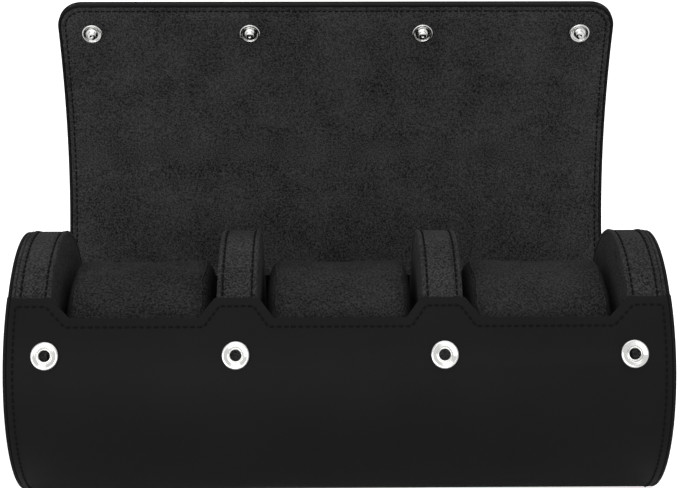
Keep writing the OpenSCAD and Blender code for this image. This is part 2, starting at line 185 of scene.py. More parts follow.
# Suede: light and dark hairs of a short nap, brushed in faint patches
def makeSuede(name, base, brushed, grain, patchSize, bump):
    material, tree, surface, coords = startMaterial(
        name, Roughness=0.95, Specular_IOR_Level=0.1,
        Sheen_Weight=0.12, Sheen_Roughness=0.45, Sheen_Tint=colour(brushed),
    )
    nap = addNoise(tree, (-1050, 300), coords, grain, 3.0, Roughness=0.7)
    napSpread = addNode(
        tree, "ShaderNodeMapRange", (-850, 300),
        Value=nap, From_Min=0.38, From_Max=0.62, To_Min=0.0, To_Max=0.8,
    )
    patch = addNoise(tree, (-1050, 50), coords, patchSize, 3.0)
    patchSpread = addNode(
        tree, "ShaderNodeMapRange", (-850, 50),
        Value=patch, From_Min=0.35, From_Max=0.65, To_Min=0.0, To_Max=0.2,
    )
    lay = addNode(tree, "ShaderNodeMath", (-650, 150), {"operation": "ADD"})
    tree.links.new(napSpread.outputs["Result"], lay.inputs[0])
    tree.links.new(patchSpread.outputs["Result"], lay.inputs[1])
    mixColours(tree, (-450, 150), surface, lay.outputs[0], base, brushed)
    fuzz = addNoise(tree, (-1050, -250), coords, 0.4 * mm, 4.0)
    soft = addNoise(tree, (-1050, -500), coords, 7 * mm, 2.0)
    broad = addBump(tree, (-700, -500), soft, bump, 0.5)
    fibres = addBump(tree, (-450, -250), fuzz, 0.2 * mm, 0.8, Normal=broad)
    tree.links.new(fibres, surface.inputs["Normal"])
    return material


def makeThread(name, base):
    material, tree, surface, coords = startMaterial(
        name, Base_Color=colour(base), Roughness=0.8, Specular_IOR_Level=0.08,
    )
    twist = addNoise(tree, (-900, -250), coords, 0.2 * mm, 2.0)
    bump = addBump(tree, (-500, -250), twist, 0.05 * mm, 0.6)
    tree.links.new(bump, surface.inputs["Normal"])
    return material


def makeMetal(name, base, roughness):
    material, tree, surface, coords = startMaterial(
        name, Base_Color=colour(base), Metallic=1.0, Roughness=roughness,
    )
    wear = addNoise(tree, (-900, -250), coords, 1.5 * mm, 3.0)
    polish = addNode(
        tree, "ShaderNodeMapRange", (-600, -100),
        Value=wear, To_Min=roughness * 0.8, To_Max=roughness * 1.4,
    )
    tree.links.new(polish.outputs["Result"], surface.inputs["Roughness"])
    return material


def makeBoard(name, base, speckled, roughness, grain):
    material, tree, surface, coords = startMaterial(
        name, Roughness=roughness, Specular_IOR_Level=0.2,
    )
    speck = addNoise(tree, (-900, 100), coords, grain, 4.0)
    mixColours(tree, (-600, 100), surface, speck, base, speckled)
    return material


leather = makeLeather("Black PU leather, matte fine grain", "#0e0e0e", "#131313", 0.55, 0.55 * mm)
suede = makeSuede(
    "Black microsuede, brushed nap", "#0a0a0a", "#3c3c3c", 0.75 * mm, 18 * mm, 0.2 * mm,
)
pillowSuede = makeSuede(
    "Black microsuede, pillow cover", "#080808", "#323232", 0.8 * mm, 15 * mm, 0.25 * mm,
)
thread = makeThread("Black polyester thread, matt", "#0a0a0b")
nickel = makeMetal("Nickel plate, polished", "#dcdcda", 0.12)
greyBoard = makeBoard("Grey board, raw", "#5b574f", "#6a655b", 0.9, 0.6 * mm)
print("materials made")


# Modelling helpers
def setMode(mode, pick=None):
    if bpy.context.object and bpy.context.object.mode != mode:
        bpy.ops.object.mode_set(mode=mode)
    if pick:
        bpy.ops.mesh.select_mode(type=pick)


def makeActive(piece):
    setMode("OBJECT")
    bpy.ops.object.select_all(action="DESELECT")
    piece.select_set(True)
    bpy.context.view_layer.objects.active = piece


def rename(piece, name):
    piece.name = piece.data.name = name
    return piece


def applyModifier(piece, kind, **settings):
    makeActive(piece)
    modifier = piece.modifiers.new(kind.title(), kind)
    for key, value in settings.items():
        setattr(modifier, key, value)
    bpy.ops.object.modifier_apply(modifier=modifier.name)


def bevelEdges(piece, width, segments, sharper):
    applyModifier(
        piece, "BEVEL", width=width, segments=segments, limit_method="ANGLE",
        angle_limit=math.radians(sharper),
    )


def addOutline(name, points, fill="NGON"):
    setMode("OBJECT")
    bpy.ops.object.select_all(action="DESELECT")
    bpy.ops.mesh.primitive_circle_add(vertices=len(points), fill_type=fill)
    piece = rename(bpy.context.object, name)
    for vertex, point in zip(piece.data.vertices, points):
        vertex.co = point
    return piece


def roundCorners(piece, test, size, segments):
    makeActive(piece)
    setMode("EDIT", "VERT")
    bpy.ops.mesh.select_all(action="DESELECT")
    setMode("OBJECT")
    for vertex in piece.data.vertices:
        vertex.select = test(vertex.co)
    setMode("EDIT", "VERT")
    bpy.ops.mesh.bevel(offset=size, segments=segments, affect="VERTICES", clamp_overlap=False)
    setMode("OBJECT")


def extrudeAll(piece, move, times=1, pick="FACE"):
    makeActive(piece)
    setMode("EDIT", pick)
    bpy.ops.mesh.select_all(action="SELECT")
    for _ in range(times):
        bpy.ops.mesh.extrude_region_move(TRANSFORM_OT_translate={"value": move})
    setMode("OBJECT")


def pickFaces(piece, test):
    makeActive(piece)
    setMode("EDIT", "FACE")
    bpy.ops.mesh.select_all(action="DESELECT")
    setMode("OBJECT")
    for face in piece.data.polygons:
        face.select = test(face)
    setMode("EDIT", "FACE")


# A groove with sloping sides, its middle at edge inside the picked faces' outline
def sewGroove(piece, test, edge, width, depth):
    pickFaces(piece, test)
    bpy.ops.mesh.inset(thickness=edge - width / 2)
    bpy.ops.mesh.inset(thickness=width * 0.35, depth=-depth)
    bpy.ops.mesh.inset(thickness=width * 0.3)
    bpy.ops.mesh.inset(thickness=width * 0.35, depth=depth)
    setMode("OBJECT")


def cutRows(piece, stops):
    makeActive(piece)
    setMode("EDIT", "FACE")
    for stop in stops:
        bpy.ops.mesh.select_all(action="SELECT")
        bpy.ops.mesh.bisect(plane_co=(0, stop, 0), plane_no=(0, 1, 0))
    setMode("OBJECT")


def trim(piece, at, normal):
    makeActive(piece)
    setMode("EDIT", "FACE")
    bpy.ops.mesh.select_all(action="SELECT")
    bpy.ops.mesh.bisect(plane_co=at, plane_no=normal, clear_outer=True, use_fill=True)
    setMode("OBJECT")


# Bends a flat piece by a rule that turns a way along it and a height above it into Y and Z
def place(piece, rule):
    for vertex in piece.data.vertices:
        x, along, out = vertex.co
        vertex.co = (x, *rule(along, out))


def dress(piece, material, smooth=35):
    makeActive(piece)
    bpy.ops.object.transform_apply(location=True, rotation=True, scale=True)
    setMode("EDIT", "FACE")
    bpy.ops.mesh.select_all(action="SELECT")
    bpy.ops.mesh.normals_make_consistent(inside=False)
    setMode("OBJECT")
    bpy.ops.object.shade_smooth_by_angle(angle=math.radians(smooth))
    piece.data.materials.clear()
    piece.data.materials.append(material)


def copyPiece(piece, name):
    makeActive(piece)
    bpy.ops.object.duplicate(linked=False)
    return rename(bpy.context.object, name)


def joinPieces(pieces, name):
    makeActive(pieces[0])
    for piece in pieces:
        piece.select_set(True)
    if len(pieces) > 1:
        bpy.ops.object.join()
    return rename(bpy.context.object, name)


# Even stops from first to last, about step apart
def spread(first, last, step):
    count = max(1, round((last - first) / step))
    return [first + (last - first) * i / count for i in range(count + 1)]


# On the roll: from the tabs' tops down the front, then back along the flat base
def onRoll(down, out):
    turn = roll["tabAngle"] + down / roll["radius"]
    if turn <= roll["baseAngle"]:
        reach = roll["radius"] + out
        return reach * math.cos(turn), roll["axis"] + reach * math.sin(turn)
    past = (turn - roll["baseAngle"]) * roll["radius"]
    return past - roll["baseHalf"], -out


# Over the walls' swelled tops, from the back forward
def onArc(along, out):
    turn = topMiddle - topSpan / 2 + along / topRadius
    reach = topRadius + out
    return topCentre[0] + reach * math.cos(turn), topCentre[1] + reach * math.sin(turn)


# One stitch, a short thread whose ends dive into its holes, laid in rows and then bent with the leather
stitch = {
    "pitch": 2.6 * mm,
    "length": 1.75 * mm,
    "radius": 0.42 * mm,
    "edge": 3.6 * mm,
    "cutAt": 0.3,
    "diveAt": 0.35,
    "dive": 3,
    "sunk": 0.02 * mm,
}


def sewRun(start, end, lift):
    start, end = Vector(start), Vector(end)
    count = max(1, round((end - start).length / stitch["pitch"]))
    step = (end - start) / count
    bpy.ops.mesh.primitive_cylinder_add(
        vertices=6, radius=stitch["radius"], depth=stitch["length"],
    )
    piece = bpy.context.object
    piece.data.transform(Matrix.Rotation(math.pi / 2, 4, "Y"))
    setMode("EDIT", "FACE")
    for side in (-1, 1):
        cut = side * stitch["length"] * stitch["cutAt"]
        bpy.ops.mesh.select_all(action="SELECT")
        bpy.ops.mesh.bisect(plane_co=(cut, 0, 0), plane_no=(1, 0, 0))
    setMode("OBJECT")
    for vertex in piece.data.vertices:
        far = max(0, abs(vertex.co.x) / stitch["length"] - stitch["diveAt"])
        vertex.co.z -= far * stitch["dive"] * stitch["radius"]
        vertex.co.y *= 1 - far
    angle = math.atan2(step.y, step.x)
    piece.data.transform(Matrix.Rotation(angle, 4, "Z"))
    middle = start + step / 2
    piece.data.transform(Matrix.Translation((middle.x, middle.y, lift)))
    applyModifier(
        piece, "ARRAY", count=count, use_relative_offset=False, use_constant_offset=True,
        constant_offset_displace=(step.x, step.y, 0),
    )
    return piece


def sewSeam(name, runs, lift, rule, body=None):
    seam = joinPieces([sewRun(start, end, lift) for start, end in runs], name)
    place(seam, rule)
    dress(seam, thread, 60)
    if body:
        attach(seam, body)
    return seam


# Where the snaps sit: each faces away from a line just in front of the roll's axis
snap = {
    "xs": (-107.2 * mm, -38 * mm, 38 * mm, 107.2 * mm),
    "direction": math.radians(157),
    "offset": -1.15 * mm,
    "lift": 0.05 * mm,
    "studLift": 1.45 * mm,
    "steps": 56,
    "hole": 2.55 * mm,
    "punch": 12 * mm,
}
snap["seat"] = -snap["offset"] * math.cos(snap["direction"]) + math.sqrt(
    roll["radius"] ** 2 - (snap["offset"] * math.sin(snap["direction"])) ** 2
)


def onSocket(x):
    toward = Matrix.Rotation(snap["direction"] - math.pi / 2, 4, "X")
    return (
        Matrix.Translation((x, snap["offset"], roll["axis"])) @ toward
        @ Matrix.Translation((0, 0, snap["seat"] + snap["lift"]))
    )


# The leather wrap: a flat pattern with four tabs along its top edge, rolled round the front and base
wrap = {
    "thickness": 1.3 * mm,
    "slotDepth": (roll["slotAngle"] - roll["tabAngle"]) * roll["radius"],
    "tabHalf": 8.1 * mm,
    "tabSlope": 5.6 * mm,
    "endSlope": 7.6 * mm,
    "overrun": 12 * mm,
    "rootY": 24 * mm,
    "round": 0.45 * mm,
    "seamShift": 1.3 * mm,
    "seamStop": 1 * mm,
    "row": 2.2 * mm,
}
wrapArc = (roll["baseAngle"] - roll["tabAngle"]) * roll["radius"]
wrapEnd = wrapArc + roll["baseHalf"] + wrap["rootY"]


# The stepped edge in front of the compartments, with its ends at -end and end
def topEdge(end):
    deep = wrap["slotDepth"]
    near = walls["divider"] - wrap["tabHalf"]
    far = walls["divider"] + wrap["tabHalf"]
    right = [
        (near - wrap["tabSlope"], deep),
        (near, 0),
        (far, 0),
        (far + wrap["tabSlope"], deep),
        (walls["endInside"] - wrap["endSlope"], deep),
        (walls["endInside"], 0),
        (end, 0),
    ]
    return [(-x, y) for x, y in reversed(right)] + right


# A path moved sideways by inset, its corners where the moved lines meet
def moveInward(path, inset):
    points = [Vector(point) for point in path]
    moved = []
    for i, point in enumerate(points):
        before = (point - points[i - 1]).normalized() if i > 0 else None
        after = (points[i + 1] - point).normalized() if i < len(points) - 1 else None
        before, after = before or after, after or before
        normals = [Vector((-way.y, way.x)) for way in (before, after)]
        middle = (normals[0] + normals[1]).normalized()
        moved.append(point + middle * inset / middle.dot(normals[0]))
    return [tuple(point) for point in moved]


wrapOutline = topEdge(roll["halfLength"]) + [
    (roll["halfLength"], wrapEnd + wrap["overrun"]),
    (-roll["halfLength"], wrapEnd + wrap["overrun"]),
]
wrapPiece = addOutline("leatherWrap", [(x, y, -wrap["thickness"]) for x, y in wrapOutline])
extrudeAll(wrapPiece, (0, 0, wrap["thickness"]))
bevelEdges(wrapPiece, wrap["round"], 3, 50)
trim(wrapPiece, (0, wrapEnd, 0), (0, 1, 0))
cutRows(wrapPiece, spread(0, wrapArc, wrap["row"])[1:])
place(wrapPiece, onRoll)
punches = []
for x in snap["xs"]:
    bpy.ops.mesh.primitive_cylinder_add(vertices=32, radius=snap["hole"], depth=snap["punch"])
    punches.append(bpy.context.object)
    punches[-1].data.transform(onSocket(x))
punch = joinPieces(punches, "socketPunch")
applyModifier(wrapPiece, "BOOLEAN", object=punch, operation="DIFFERENCE", solver="EXACT")
bpy.data.objects.remove(punch)
dress(wrapPiece, leather)
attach(wrapPiece, "roll")
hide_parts("outer_wrap")

# The wrap's seam, closer to the ends than to the top edge
seamEnd = roll["halfLength"] + wrap["seamShift"]
seamFoot = wrapArc - wrap["seamStop"]
seamEdge = [(-seamEnd, seamFoot)] + topEdge(seamEnd) + [(seamEnd, seamFoot)]
wrapSeam = moveInward(seamEdge, stitch["edge"])
seamRuns = list(zip(wrapSeam, wrapSeam[1:]))
sewSeam("wrapStitches", seamRuns, -stitch["sunk"], onRoll, "roll")
print("wrap rolled")

# The turned leather over the board's edge in front of each compartment
binding = {
    "depth": 4.9 * mm,
    "height": 2.6 * mm,
    "round": 0.9 * mm,
    "spare": 4 * mm,
    "below": 0.05 * mm,
    "inside": 0.3 * mm,
    "runs": ((-98.9 * mm, -51.7 * mm), (-24.3 * mm, 24.3 * mm), (51.7 * mm, 98.9 * mm)),
}
bars = []
for start, end in binding["runs"]:
    bpy.ops.mesh.primitive_cube_add(size=1)
    bar = bpy.context.object
    long = end - start + binding["spare"]
    bpy.ops.transform.resize(value=(long, binding["height"], binding["depth"]))
    bpy.ops.object.transform_apply(location=True, rotation=True, scale=True)
    applyModifier(bar, "BEVEL", width=binding["round"], segments=4)
    down = wrap["slotDepth"] + binding["height"] / 2 + binding["below"]
    out = -binding["depth"] / 2 - binding["inside"]
    bar.data.transform(Matrix.Translation(((start + end) / 2, down, out)))
    bars.append(bar)
bindings = joinPieces(bars, "slotBindings")
place(bindings, onRoll)
dress(bindings, leather, 60)
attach(bindings, "roll")

# The suede bands over the walls, each with two sewn lines and a raised edge outside them
rim = {
    "thick": walls["band"],
    "ridge": 0.5 * mm,
    "groove": 0.35 * mm,
    "length": topSpan * topRadius,
    "row": 2.2 * mm,
    "seam": 2.1 * mm,
    "seamStop": 1 * mm,
    "thread": 0.22 * mm,
}


# Across a band, from edge to edge: its side, the raised edge and the sewn groove
def rimProfile(x0, x1, seam0, seam1):
    def edge(x, inward, seam):
        return [
            (x, -rim["thick"]),
            (x, -0.35 * mm),
            (x + inward * 0.25 * mm, 0.1 * mm),
            (x + inward * 0.8 * mm, rim["ridge"]),
            (x + inward * 1.4 * mm, rim["ridge"] * 0.75),
            (seam - inward * 0.45 * mm, 0.02 * mm),
            (seam, -rim["groove"]),
            (seam + inward * 0.5 * mm, 0.0),
            (seam + inward * 1.3 * mm, 0.12 * mm),
        ]
    return edge(x0, 1, seam0) + list(reversed(edge(x1, -1, seam1)))


def makeRim(name, start, end, node):
    x0, x1 = sorted((start, end))
    seam0, seam1 = x0 + rim["seam"], x1 - rim["seam"]
    points = [(x, 0, out) for x, out in rimProfile(x0, x1, seam0, seam1)]
    band = addOutline(name, points)
    steps = round(rim["length"] / rim["row"])
    extrudeAll(band, (0, rim["length"] / steps, 0), steps)
    place(band, onArc)
    dress(band, suede, 50)
    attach(band, "roll")
    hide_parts(node)
    last = rim["length"] - rim["seamStop"]
    runs = [((x, rim["seamStop"]), (x, last)) for x in (seam0, seam1)]
    sewSeam(name + "Stitches", runs, rim["thread"] - rim["groove"], onArc, "roll")


piping = {"radius": 0.7 * mm, "out": 0.2 * mm, "steps": 44}
for side, sign in sides.items():
    half = walls["dividerWidth"] / 2
    middle = sign * walls["divider"]
    makeRim(
        f"dividerBand{side.title()}", middle - half, middle + half, f"divider_rim_{side}",
    )
    inner = sign * walls["endInside"]
    outer = sign * (roll["halfLength"] - 2 * piping["radius"])
    makeRim(f"endBand{side.title()}", inner, outer, f"end_rim_{side}")
print("bands made")

# The padded walls under the bands
wallPads = {
    "crown": 0.7 * mm,
    "under": 0.1 * mm,
    "aside": 0.15 * mm,
    "fromEnd": 0.1 * mm,
    "aboveBoard": 1 * mm,
    "round": 1.2 * mm,
    "turn": math.radians(3),
    "slope": ((4 * mm, 0.7), (9 * mm, 0.3)),
}


def wallReach(angle):
    if roll["backAngle"] < angle < roll["tabAngle"]:
        return topReach(angle) - walls["band"] + wallPads["under"]
    return boardRadius - wallPads["under"]


# Crowned holds the signs of the sides that swell
def makeWall(name, start, end, nodes, crowned):
    x0, x1 = sorted((start, end))
    middle = (x0 + x1) / 2
    outline = [
        (x0, wallReach(a) * math.cos(a), roll["axis"] + wallReach(a) * math.sin(a))
        for a in spread(0, 2 * math.pi, wallPads["turn"])[:-1]
    ]
    wall = addOutline(name, outline)
    extrudeAll(wall, (x1 - x0, 0, 0))
    pickFaces(
        wall, lambda face: abs(face.normal.x) > 0.9
        and math.copysign(1, face.center.x - middle) in crowned,
    )
    for width, share in wallPads["slope"]:
        bpy.ops.mesh.inset(thickness=width, depth=wallPads["crown"] * share)
    setMode("OBJECT")
    low = roll["leather"] + roll["board"] + wallPads["aboveBoard"]
    trim(wall, (0, 0, low), (0, 0, -1))
    bevelEdges(wall, wallPads["round"], 3, 40)
    dress(wall, suede, 50)
    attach(wall, "roll")
    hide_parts(*nodes)


for side, sign in sides.items():
    half = walls["dividerWidth"] / 2 - wallPads["aside"]
    middle = sign * walls["divider"]
    makeWall(
        f"dividerPad{side.title()}", middle - half, middle + half,
        [f"divider_core_{side}", f"divider_faces_{side}"], (-1, 1),
    )
    inner = sign * (walls["endInside"] + wallPads["aside"])
    outer = sign * (roll["halfLength"] - wallPads["fromEnd"])
    makeWall(
        f"endPad{side.title()}", inner, outer, [f"end_core_{side}", f"end_face_{side}"], (-sign,),
    )
print("walls made")

# The leather end panels, crowned, with a pressed line near their edge, and the piping beside each
panel = {
    "out": 1.3 * mm,
    "crown": 1.2 * mm,
    "edge": 0.5 * mm,
    "border": 2.6 * mm,
    "line": 0.4 * mm,
    "lineDown": 0.25 * mm,
    "lineUp": 0.3 * mm,
    "slope": 9 * mm,
    "shares": (0.45, 0.3, 0.18, 0.07),
}
for side, sign in sides.items():
    x = sign * roll["halfLength"]
    bpy.ops.mesh.primitive_circle_add(vertices=180, radius=roll["radius"], fill_type="NGON")
    disc = rename(bpy.context.object, f"endPanel{side.title()}")
    extrudeAll(disc, (0, 0, panel["out"]))
    pickFaces(disc, lambda face: face.center.z > panel["out"] - tiny)
    bpy.ops.mesh.inset(thickness=panel["border"])
    bpy.ops.mesh.inset(thickness=panel["line"], depth=-panel["lineDown"])
    bpy.ops.mesh.inset(thickness=panel["line"], depth=panel["lineUp"])
    for share in panel["shares"]:
        bpy.ops.mesh.inset(thickness=panel["slope"], depth=panel["crown"] * share)
    setMode("OBJECT")
    bevelEdges(disc, panel["edge"], 3, 60)
    disc.data.transform(Matrix.Rotation(sign * math.pi / 2, 4, "Y"))
    for vertex in disc.data.vertices:
        angle = math.atan2(vertex.co.z, vertex.co.y)
        if roll["backAngle"] < angle < roll["tabAngle"]:
            vertex.co.yz *= topReach(angle) / roll["radius"]
    disc.data.transform(Matrix.Translation((x, 0, roll["axis"])))
    trim(disc, (0, 0, 0), (0, 0, -1))
    dress(disc, leather, 40)
    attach(disc, "roll")
    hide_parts(f"end_panel_{side}")
    bpy.ops.mesh.primitive_circle_add(vertices=12, radius=piping["radius"], fill_type="NGON")
    cord = rename(bpy.context.object, f"endPiping{side.title()}")
    cord.data.transform(Matrix.Rotation(math.pi / 2, 4, "X"))
    middle = (x - sign * piping["radius"], 0, piping["out"] - piping["radius"])
    cord.data.transform(Matrix.Translation(middle))
    extrudeAll(cord, (0, rim["length"] / piping["steps"], 0), piping["steps"])
    place(cord, onArc)
    dress(cord, suede, 70)
    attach(cord, "roll")
    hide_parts(f"end_piping_{side}")
print("ends made")

# The foam seats under the pillows, flat on top and covered in suede
seat = {
    "radius": 45.1 * mm,
    "top": 42.6 * mm,
    "bottom": 5 * mm,
    "half": 30.2 * mm,
    "lip": 6 * mm,
    "round": 1.2 * mm,
    "turn": 0.09,
}
bays = (-76 * mm, 0, 76 * mm)
seatEdge = math.asin((seat["top"] - roll["axis"]) / seat["radius"])
seatUnder = [
    (seat["radius"] * math.cos(a), max(roll["axis"] + seat["radius"] * math.sin(a), seat["bottom"]))
    for a in spread(math.pi - seatEdge, 2 * math.pi + seatEdge, seat["turn"])
]
seatReach = seat["radius"] * math.cos(seatEdge) - seat["lip"]
seatTop = [(seatReach, seat["top"]), (-seatReach, seat["top"])]
for index, x in enumerate(bays, 1):
    points = [(x - seat["half"], y, z) for y, z in seatUnder + seatTop]
    block = addOutline(f"seatPad{index}", points)
    extrudeAll(block, (2 * seat["half"], 0, 0))
    bevelEdges(block, seat["round"], 3, 40)
    dress(block, suede, 50)
    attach(block, "roll")
    if index == 1:
        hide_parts("seat_pads")
print("seats made")

# The pillows: each a block a little smaller than the cover, puffed up as cloth, then its end welts
pillow = {
    "length": 56 * mm,
    "halfWidth": 35 * mm,
    "halfHeight": 26 * mm,
    "sideRadius": 20 * mm,
    "sideStep": 0.12,
    "topStep": 0.045,
    "middle": roll["axis"] + 15 * mm,
    "inset": 0.7 * mm,
    "waist": 1.6 * mm,
    "cap": 1.7 * mm,
    "voxel": 4 * mm,
    "round": 1.6 * mm,
    "pressure": 4,
    "frames": 20,
}
welt = {"radius": 0.4 * mm, "sunk": 0.15 * mm, "fromEnd": 0.6 * mm, "away": 3 * mm}


# A pillow's end, inset by this much: two tight arcs at the sides, two wide ones above and below
def oval(inset):
    a = pillow["halfWidth"] - inset
    b = pillow["halfHeight"] - inset
    r = pillow["sideRadius"] - inset
    wide = ((a - r) ** 2 + b ** 2 - r ** 2) / (2 * (b - r))
    tip = math.atan2(wide - b, a - r)
    rightArc = [
        (a - r + r * math.cos(t), r * math.sin(t))
        for t in spread(-tip, tip, pillow["sideStep"])
    ]
    topArc = [
        (wide * math.cos(t), b - wide + wide * math.sin(t))
        for t in spread(tip, math.pi - tip, pillow["topStep"])
    ]
    half = rightArc + topArc[1:]
    return half[:-1] + [(-y, -z) for y, z in half[:-1]]


def makePillow(index, x):
    inset = pillow["inset"]
    half = pillow["length"] / 2 - inset
    points = [(-half, y, z) for y, z in oval(inset)]
    piece = addOutline(f"pillow{index}", points)
    extrudeAll(piece, (2 * half, 0, 0))
    bevelEdges(piece, pillow["round"], 3, 50)
    applyModifier(piece, "REMESH", mode="VOXEL", voxel_size=pillow["voxel"])
    for vertex in piece.data.vertices:
        waist = pillow["waist"] * max(0, 1 - (vertex.co.x / half) ** 2)
        vertex.co.yz *= 1 - waist / vertex.co.yz.length
    before = [vertex.co.copy() for vertex in piece.data.vertices]
    makeActive(piece)
    cloth = piece.modifiers.new("Cloth", "CLOTH")
    cloth.settings.use_pressure = True
    cloth.settings.uniform_pressure_force = pillow["pressure"]
    cloth.settings.effector_weights.gravity = 0
    cloth.settings.quality = 6
    for step in range(pillow["frames"]):
        bpy.context.scene.frame_set(step + 1)
    bpy.ops.object.modifier_apply(modifier=cloth.name)
    bpy.context.scene.frame_set(1)
    for vertex, start in zip(piece.data.vertices, before):
        move = vertex.co - start
        if move.length > pillow["cap"]:
            vertex.co = start + move.normalized() * pillow["cap"]
    applyModifier(piece, "SMOOTH", factor=0.5, iterations=4)
    applyModifier(piece, "SUBSURF", levels=1, render_levels=1)
    piece.data.transform(Matrix.Translation((x, 0, pillow["middle"])))
    dress(piece, pillowSuede, 80)
    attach(piece, f"pillow_{index}")
    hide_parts(f"pillow_cover_{index}", f"pillow_core_{index}")
    for side, sign in sides.items():
        end = x + sign * (half - welt["fromEnd"])
        sewEnd(piece, f"pillowSeam{index}{side.title()}", end, f"pillow_{index}")


# The welt round a pillow's end: a thin cord drawn round its oval and pressed into the cover
def sewEnd(cover, name, x, body):
    path = [Vector((x, y, z + pillow["middle"])) for y, z in oval(-welt["away"])]
    nearest = [cover.closest_point_on_mesh(point) for point in path]
    centres = [near.copy() for _, near, _, _ in nearest]
    outs = [normal.copy() for _, _, normal, _ in nearest]
    bpy.ops.mesh.primitive_circle_add(vertices=8, radius=welt["radius"], fill_type="NOTHING")
    cord = rename(bpy.context.object, name)
    extrudeAll(cord, (0, 0, mm), len(path) - 1, "EDGE")
    for vertex in cord.data.vertices:
        ring = round(vertex.co.z / mm)
        along = (centres[(ring + 1) % len(path)] - centres[ring - 1]).normalized()
        across = along.cross(outs[ring])
        high = vertex.co.y - welt["sunk"]
        vertex.co = centres[ring] + across * vertex.co.x + outs[ring] * high
    setMode("EDIT", "EDGE")
    bpy.ops.mesh.select_all(action="DESELECT")
    bpy.ops.mesh.select_non_manifold()
    bpy.ops.mesh.bridge_edge_loops()
    setMode("OBJECT")
    dress(cord, pillowSuede, 80)
    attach(cord, body)


for index, x in enumerate(bays, 1):
    makePillow(index, x)
print("pillows made")

# The lid's middle line: it leaves the roll near the base and sweeps up behind, in smooth arcs
lid = {
    "halfWidth": 122 * mm,
    "half": 1.6 * mm,
    "strips": 8,
    "strip": 26.41 * mm,
    "hinge": Vector((33.06, 1.92)) * mm,
    "root": Vector((24, 1.6)) * mm,
    "rootBend": 7 * mm,
    "blendFrom": 2 * mm,
    "foot": 17,
    "firstBend": 18.5,
    "lastBend": 8,
    "free": 14 * mm,
    "corner": 11 * mm,
    "spare": 20 * mm,
    "border": 1.3 * mm,
    "seam": 3.3 * mm,
    "floor": 0.6 * mm,
    "row": 2.2 * mm,
    "round": 0.75 * mm,
    "groove": 1.1 * mm,
    "grooveDeep": 0.2 * mm,
}
lining = {
    "gap": 0.05 * mm,
    "bottom": lid["floor"] - 0.1 * mm,
    "top": 1.42 * mm,
    "round": 0.2 * mm,
    "groove": 0.9 * mm,
    "first": 4.6 * mm,
}


# A strip's angle in the open lid, where the bend at each crease falls evenly from first to last
def stripAngle(k):
    change = (lid["lastBend"] - lid["firstBend"]) / (lid["strips"] - 2)
    return math.radians(lid["foot"] + (k - 1) * (lid["firstBend"] + change * (k - 2) / 2))


def heading(angle):
    return Vector((math.cos(angle), math.sin(angle)))


creases = [lid["hinge"]]
for k in range(1, lid["strips"]):
    creases.append(creases[-1] + heading(stripAngle(k)) * lid["strip"])
middles = [c + heading(stripAngle(k + 1)) * lid["strip"] / 2 for k, c in enumerate(creases)]

# Each stretch: where it starts, its angle there, its length and how much it turns
stretches = []
rootAngle = math.atan2(*reversed(lid["hinge"] - lid["root"]))
straight = (lid["hinge"] - lid["root"]).length - lid["rootBend"]
rootTurn = stripAngle(1) - rootAngle
stretches.append((lid["root"], rootAngle, straight, 0))
arcStart = lid["root"] + heading(rootAngle) * straight
arcLength = lid["rootBend"] / math.tan(rootTurn / 2) * rootTurn
stretches.append((arcStart, rootAngle, arcLength, rootTurn))
arcEnd = lid["hinge"] + heading(stripAngle(1)) * lid["rootBend"]
stretches.append((arcEnd, stripAngle(1), lid["strip"] / 2 - lid["rootBend"], 0))
rootParts = len(stretches)
for k in range(1, lid["strips"]):
    turn = stripAngle(k + 1) - stripAngle(k)
    length = lid["strip"] / 2 / math.tan(turn / 2) * turn
    stretches.append((middles[k - 1], stripAngle(k), length, turn))
stretches.append((middles[-1], stripAngle(lid["strips"]), lid["free"], 0))
starts = [0]
for part in stretches:
    starts.append(starts[-1] + part[2])
lidLength = starts[-1]
seams = [0] + starts[rootParts:]


# On the open lid, from its fixed end to its tip
def onLid(along, out):
    index = 0
    while index < len(stretches) - 1 and along > starts[index + 1]:
        index += 1
    begin, angle, length, turn = stretches[index]
    gone = along - starts[index]
    if abs(turn) < tiny:
        point, now = begin + heading(angle) * gone, angle
    else:
        radius = length / turn
        now = angle + gone / radius
        centre = begin + radius * heading(angle + math.pi / 2)
        point = centre - radius * heading(now + math.pi / 2)
    point = point + heading(now + math.pi / 2) * out
    return point.x, point.y


# The last segment rides the last strip, and each of the others keeps its placement baked into its mesh
def lidBend(piece, segment):
    if segment == lid["strips"]:
        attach(piece, f"lid_strip_{segment}")
        return
    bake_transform(piece)


def lidSheet(name, inset, low, high):
    half = lid["halfWidth"] - inset
    far = lidLength - inset
    near = -lid["spare"]
    outline = [(-half, near), (half, near), (half, far), (-half, far)]
    sheet = addOutline(name, [(x, y, low) for x, y in outline])
    roundCorners(sheet, lambda co: co.y > 0, lid["corner"] - inset, 12)
    extrudeAll(sheet, (0, 0, high - low))
    return sheet


# A trimmed end's fill also closes the recess for the lining, so that face goes
recess = {"low": lid["floor"] + 0.3 * mm, "area": 100 * mm ** 2, "near": 0.01 * mm}


def openRecess(part, ends):
    def closesRecess(face):
        if abs(face.normal.y) < 0.9 or face.center.z < recess["low"]:
            return False
        atEnd = min(abs(face.center.y - end) for end in ends) < recess["near"]
        return atEnd and face.area > recess["area"]
    pickFaces(part, closesRecess)
    bpy.ops.mesh.delete(type="ONLY_FACE")
    setMode("OBJECT")


def cutLid(flat, name, material, first=0.0):
    parts = []
    for segment in range(len(seams) - 1):
        part = copyPiece(flat, f"{name}{segment}")
        start = max(seams[segment], first)
        end = seams[segment + 1]
        trim(part, (0, start, 0), (0, -1, 0))
        if segment < lid["strips"]:
            trim(part, (0, end, 0), (0, 1, 0))
        openRecess(part, (start, end))
        cutRows(part, spread(start, end, lid["row"])[1:-1])
        place(part, onLid)
        dress(part, material)
        lidBend(part, segment)
        parts.append(part)
    bpy.data.objects.remove(flat)
    return parts


